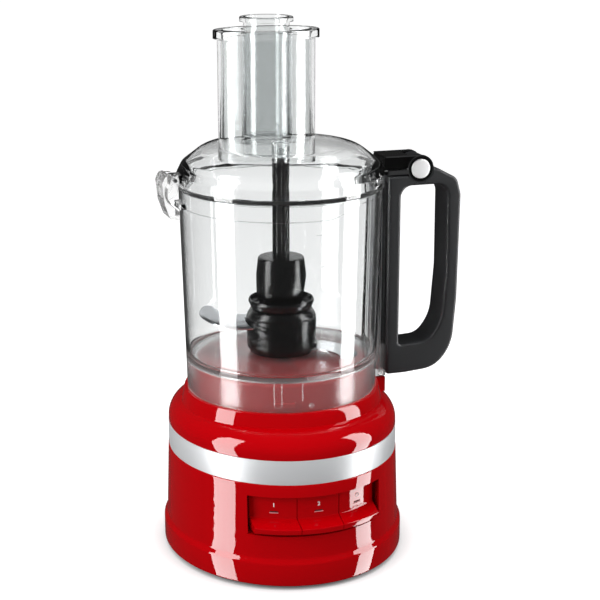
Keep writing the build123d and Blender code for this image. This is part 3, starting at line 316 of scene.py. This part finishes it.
KEY_FACE = (89.5 * MM, 98.9 * MM)  # half-axes of the oval that the key faces lie on
KEYS = {"low": ("low_key", -35 * MM), "high": ("high_key", 0.0), "pulse": ("pulse_key", 35 * MM)}
FIGURE_Z = 68.0 * MM
FIGURE_H = 3.2 * MM
FIGURE_RAISED = 0.12 * MM
FIGURE_BOLD = 0.1 * MM
FONT_BODY = 1.4  # the font's size is this many times the height of its figures
# Height and size of the painted slot shade and of the painted highlight on the slot's lip.
SLOT_SHADE_Z = 62.4 * MM
SLOT_SHADE_SIZE = (6.4 * MM, 0.9 * MM, 0.5 * MM)
LIP_HIGHLIGHT_Z = 61.4 * MM
LIP_HIGHLIGHT_SIZE = (7.4 * MM, 0.7 * MM, 0.6 * MM)
PILL_PROUD = 0.05 * MM


def take(name, body, material):
    """Names the active new piece and ties it to a body and a material slot."""
    piece = bpy.context.object
    piece.name = name
    piece.data.materials.clear()
    piece.data.materials.append(material)
    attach(piece, body)


def settle():
    """Applies the active piece's place, so that its origin is the machine's."""
    piece = bpy.context.object
    bpy.ops.object.select_all(action="DESELECT")
    piece.select_set(True)
    bpy.ops.object.transform_apply(location=True, rotation=True, scale=True)


def face_spot(x, z, proud):
    """Place and turn of a mark at x on a key face, its middle a little proud of the face."""
    a, b = KEY_FACE
    y = -b * math.sqrt(1 - (x / a) ** 2)
    normal = Vector((x / a**2, y / b**2, 0)).normalized()
    turn = math.atan2(normal.x, -normal.y)
    return Vector((x, y, z)) + normal * proud, turn


def digit(name, key, text):
    """A raised printed figure on a key."""
    body, x = KEYS[key]
    place, turn = face_spot(x, FIGURE_Z, FIGURE_RAISED)
    bpy.ops.object.text_add(location=place, rotation=(math.radians(90), 0, turn))
    writing = bpy.context.object
    writing.data.body = text
    writing.data.align_x = "CENTER"
    writing.data.align_y = "CENTER"
    writing.data.size = FIGURE_H * FONT_BODY
    writing.data.extrude = FIGURE_RAISED
    writing.data.offset = FIGURE_BOLD
    bpy.ops.object.convert(target="MESH")
    settle()
    take(name, body, INK)


def round_edges(width, segments):
    """Bevels every edge of the active new piece and shades it smooth."""
    bevel = bpy.context.object.modifiers.new("round", "BEVEL")
    bevel.width = width
    bevel.segments = segments
    bpy.ops.object.modifier_apply(modifier="round")
    bpy.ops.object.shade_smooth_by_angle(angle=math.radians(40))


def pill(name, body, material, x, z, size):
    """A rounded bar that lies level on a key face; size is its width, height and depth."""
    width, height, depth = size
    place, turn = face_spot(x, z, PILL_PROUD)
    bpy.ops.mesh.primitive_cube_add(size=1.0, location=place, rotation=(0, 0, turn))
    bpy.context.object.scale = (width, depth, height)
    settle()
    round_edges(min(height, depth) * 0.45, 3)
    take(name, body, material)


# Every key gets its slot's painted shade and the painted highlight along the slot's lip.
for key_name, (key_body, key_x) in KEYS.items():
    pill(key_name + "_slot_shade", key_body, SLOT_PAINTED_SHADE, key_x, SLOT_SHADE_Z, SLOT_SHADE_SIZE)
    pill(key_name + "_lip_highlight", key_body, LIP_PAINTED_HIGHLIGHT, key_x, LIP_HIGHLIGHT_Z, LIP_HIGHLIGHT_SIZE)
digit("low_figure", "low", "1")
digit("high_figure", "high", "2")


def start_rods(radius_mm):
    """Adds a curve object whose lines become round rods with closed ends."""
    bpy.ops.object.select_all(action="DESELECT")
    bpy.ops.curve.primitive_nurbs_path_add(location=(0, 0, 0))
    curve = bpy.context.object.data
    curve.splines.clear()
    curve.bevel_depth = radius_mm * MM
    curve.bevel_resolution = 2
    curve.use_fill_caps = True
    return curve


def add_rod(curve, points):
    """Adds a line through the points to the curve."""
    line = curve.splines.new("POLY")
    line.points.add(len(points) - 1)
    for end, point in zip(line.points, points):
        end.co = (*point, 1.0)


# Power sign on the pulse key: a ring that is open at the top, and a bar in the gap.
SIGN_R = 1.5 * MM
SIGN_BAR = (0.4 * MM, 1.9 * MM)  # from and to, above the ring's middle
pulse_body, pulse_x = KEYS["pulse"]
place, turn = face_spot(pulse_x, FIGURE_Z, 0.1 * MM)
sign = start_rods(0.22)
ring_angles = [math.radians(a) for a in range(120, 421, 15)]
add_rod(sign, [(SIGN_R * math.cos(a), 0.0, SIGN_R * math.sin(a)) for a in ring_angles])
add_rod(sign, [(0.0, 0.0, z) for z in SIGN_BAR])
bpy.ops.object.convert(target="MESH")
bpy.context.object.location = place
bpy.context.object.rotation_euler = (0, 0, turn)
settle()
take("power_sign", pulse_body, INK)

# The outside of the bowl's wall widens evenly upwards.
BOWL_FOOT = 138.4
BOWL_H = 167.6
WALL_FOOT_R = 78.6
WALL_FLARE = 4.3


def wall_point(azimuth, z, proud=0.0):
    """A point on the outside of the bowl's wall; azimuth 0 is the front, positive to +X."""
    radius = (WALL_FOOT_R + WALL_FLARE * (z - BOWL_FOOT) / BOWL_H + proud) * MM
    a = math.radians(azimuth)
    return Vector((radius * math.sin(a), -radius * math.cos(a), z * MM))


def wall_bead(name, course, radius_mm, material):
    """A thin moulded bead that follows a course of (azimuth, height) on the bowl wall."""
    add_rod(start_rods(radius_mm), [wall_point(azimuth, z) for azimuth, z in course])
    bpy.ops.object.convert(target="MESH")
    bpy.ops.object.shade_smooth()
    take(name, "bowl_unit", material)


# A U-shaped bayonet guide, a stop and a button moulded on the skirt.
RIB_TOP = 163.5
RIB_R = 0.45
guide = [
    (-21.5, RIB_TOP), (-21.5, 144.0), (-20.5, 142.4),
    (-18.0, 142.4), (-17.0, 144.0), (-17.0, RIB_TOP),
]
wall_bead("skirt_guide", guide, RIB_R, FROST)
wall_bead("skirt_stop", [(-5.0, RIB_TOP), (-5.0, 148.5)], RIB_R, FROST)

BUTTON_AZIMUTH = 0.5
BUTTON_Z = 143.4
bpy.ops.mesh.primitive_cylinder_add(
    vertices=40,
    radius=2.1 * MM,
    depth=2.4 * MM,
    location=wall_point(BUTTON_AZIMUTH, BUTTON_Z, -0.3),
    rotation=(math.radians(90), 0, math.radians(BUTTON_AZIMUTH)),
)
settle()
round_edges(0.9 * MM, 5)
take("skirt_button", "bowl_unit", FROST)

# Step line round the upper bowl, which climbs towards the handle, and a level mark.
STEP_Z = 293.0
STEP_RISE = 9.0
RISE_PARTS = 9  # the climb is this many runs of 3 degrees
step = [(a, STEP_Z) for a in range(-100, 8, 4)]
for i in range(RISE_PARTS + 1):
    share = 0.5 - 0.5 * math.cos(math.pi * i / RISE_PARTS)
    step.append((8 + 3 * i, STEP_Z + STEP_RISE * share))
step += [(a, STEP_Z + STEP_RISE) for a in range(39, 76, 4)]
wall_bead("bowl_step", step, 0.35, MATERIALS["clear_plastic"])
wall_bead("level_line", [(a, 282.0) for a in range(2, 15)], 0.16, GREY_INK)

# ---------------------------------------------------------------- floor, lights and camera
FLOOR_SIZE = 9.0
FLOOR_GLOW = 0.86
SHADE_REACH = 0.03  # the glow is shaded this near to the foot
ONE_BOUNCE = 0.5  # a count of bounces above this has at least one
floor_material, floor_tree, floor_shader = new_material(
    "studio_floor", Base_Color=srgb("#C0C0C0"), Roughness=0.9, Emission_Color=srgb("#FFFFFF")
)
floor_near = add_node(floor_tree, "ShaderNodeAmbientOcclusion", Distance=SHADE_REACH, samples=8)
floor_glow = add_node(floor_tree, "ShaderNodeMath", {0: floor_near.outputs["AO"]}, operation="MULTIPLY")
floor_glow.inputs[1].default_value = FLOOR_GLOW
floor_tree.links.new(floor_glow.outputs[0], floor_shader.inputs["Emission Strength"])
bpy.ops.mesh.primitive_plane_add(size=FLOOR_SIZE, location=(0, 0, -0.0002))
floor = bpy.context.object
floor.name = "floor"
floor.data.materials.append(floor_material)


def seen_plainly(tree, path):
    """1 where the eye sees a surface straight on or through clear walls, 0 in reflections."""
    turns = add_node(
        tree,
        "ShaderNodeMath",
        {0: path.outputs["Diffuse Depth"], 1: path.outputs["Glossy Depth"]},
        operation="ADD",
    )
    plain = add_node(tree, "ShaderNodeMath", {0: turns.outputs[0]}, operation="LESS_THAN")
    plain.inputs[1].default_value = ONE_BOUNCE
    return plain.outputs[0]


def bounced(tree, socket):
    """1 once light has turned at least once in the named way."""
    path = add_node(tree, "ShaderNodeLightPath")
    turned = add_node(tree, "ShaderNodeMath", {0: path.outputs[socket]}, operation="GREATER_THAN")
    turned.inputs[1].default_value = ONE_BOUNCE
    return turned.outputs[0]


# This floor isn't a physical one. The eye sees it white, mirror images look past it, and
# soft light that has bounced off the object meets a grey one.
cloth = add_node(floor_tree, "ShaderNodeBsdfDiffuse", Color=srgb("#8C8C8C"))
gap = add_node(floor_tree, "ShaderNodeBsdfTransparent", Color=(1, 1, 1, 1))
soft_floor = add_node(floor_tree, "ShaderNodeMixShader", {0: bounced(floor_tree, "Diffuse Depth")})
floor_tree.links.new(floor_shader.outputs["BSDF"], soft_floor.inputs[1])
floor_tree.links.new(cloth.outputs["BSDF"], soft_floor.inputs[2])
open_floor = add_node(floor_tree, "ShaderNodeMixShader", {0: bounced(floor_tree, "Glossy Depth")})
floor_tree.links.new(soft_floor.outputs["Shader"], open_floor.inputs[1])
floor_tree.links.new(gap.outputs["BSDF"], open_floor.inputs[2])
floor_tree.links.new(open_floor.outputs["Shader"], floor_tree.nodes["Material Output"].inputs["Surface"])

# The room isn't physical either: it is white to the eye and dimmer to all other light.
ROOM_WHITE = 1.0  # seen straight on or through clear walls
ROOM_FILL = 0.34  # met by soft light
ROOM_GLOSS = 0.04  # seen in a reflection
ROOM_CLEAR = 0.10  # seen in a reflection that has crossed a clear wall
world = bpy.context.scene.world or bpy.data.worlds.new("studio")
bpy.context.scene.world = world
world.use_nodes = True
room = world.node_tree
room.nodes.clear()
room_path = add_node(room, "ShaderNodeLightPath")
around = add_node(
    room,
    "ShaderNodeMapRange",
    {"Value": room_path.outputs["Is Diffuse Ray"]},
    To_Min=ROOM_GLOSS,
    To_Max=ROOM_FILL,
)
inside = add_node(
    room,
    "ShaderNodeMapRange",
    {"Value": bounced(room, "Transmission Depth"), "To Min": around.outputs["Result"]},
    To_Max=ROOM_CLEAR,
)
level = add_node(
    room,
    "ShaderNodeMapRange",
    {"Value": seen_plainly(room, room_path), "To Min": inside.outputs["Result"]},
    To_Max=ROOM_WHITE,
)
backdrop = add_node(room, "ShaderNodeBackground", {"Strength": level.outputs["Result"]}, Color=(1, 1, 1, 1))
add_node(room, "ShaderNodeOutputWorld", {"Surface": backdrop.outputs["Background"]})

# A lit card stands behind the object and gives the clear pieces their bright edges.
CARD_SIZE = (4.4, 2.4, 1.0)
CARD_PLACE = (0.45, 1.45, 1.27)  # clear of the floor, so that no line shows where they meet
CARD_TURN = (math.radians(90), 0, math.radians(-17.3))
card_material = new_material(
    "lit_card", Base_Color=srgb("#000000"), Emission_Color=srgb("#FFFFFF"), Emission_Strength=1.0
)[0]
bpy.ops.mesh.primitive_plane_add(size=1.0, location=(0, 0, 0))
card = bpy.context.object
card.name = "card"
card.scale = CARD_SIZE
card.rotation_euler = CARD_TURN
card.location = CARD_PLACE
card.data.materials.append(card_material)
card.visible_glossy = False
card.visible_diffuse = False

studio = bpy.context.scene
studio.view_settings.view_transform = "Standard"
# Light crosses up to eight clear walls, each with two faces, and comes back.
CLEAR_BOUNCES = 32
studio.cycles.max_bounces = CLEAR_BOUNCES
studio.cycles.transmission_bounces = CLEAR_BOUNCES
studio.cycles.transparent_max_bounces = CLEAR_BOUNCES

TARGET = Vector((0.0, 0.0, 0.2))  # the middle of the object, which the lamps face


def softbox(name, azimuth, distance, centre_z, width, height, power, hidden_from):
    """A rectangular lamp that faces the object; azimuth 0 is the front, positive to +X."""
    a = math.radians(azimuth)
    place = Vector((distance * math.sin(a), -distance * math.cos(a), centre_z))
    light = bpy.data.lights.new(name, "AREA")
    light.shape = "RECTANGLE"
    light.size, light.size_y = width, height
    light.energy = power
    lamp = bpy.data.objects.new(name, light)
    lamp.location = place
    lamp.rotation_euler = (TARGET - place).to_track_quat("-Z", "Y").to_euler()
    for kind in hidden_from:
        setattr(lamp, "visible_" + kind, False)
    bpy.context.collection.objects.link(lamp)


# Tall strips give the crisp bright bars. Wide boxes that no mirror or clear wall shows give
# the soft light.
SHINE_ONLY = ["diffuse"]
SOFT_ONLY = ["glossy", "transmission"]
softbox("left_strip", -82, 1.6, 0.25, 0.66, 3.0, 66, SHINE_ONLY)
softbox("right_strip", 68, 1.6, 0.25, 0.60, 3.0, 56, SHINE_ONLY)
softbox("left_fill", -70, 1.8, 0.9, 1.2, 1.2, 20, SOFT_ONLY)
softbox("right_fill", 50, 1.8, 0.9, 1.2, 1.2, 11, SOFT_ONLY)
softbox("overhead", 0, 0.3, 2.0, 1.6, 1.2, 16, SOFT_ONLY)

CAMERA_PLACE = (-0.3560, -1.1461, 0.545)
CAMERA_TURN = (74.37, 0.0, -18.0)
camera_data = bpy.data.cameras.new("camera")
camera_data.lens = 90.3
camera_data.sensor_width = 36.0
camera = bpy.data.objects.new("camera", camera_data)
camera.location = CAMERA_PLACE
camera.rotation_euler = [math.radians(angle) for angle in CAMERA_TURN]
bpy.context.collection.objects.link(camera)
bpy.context.scene.camera = camera
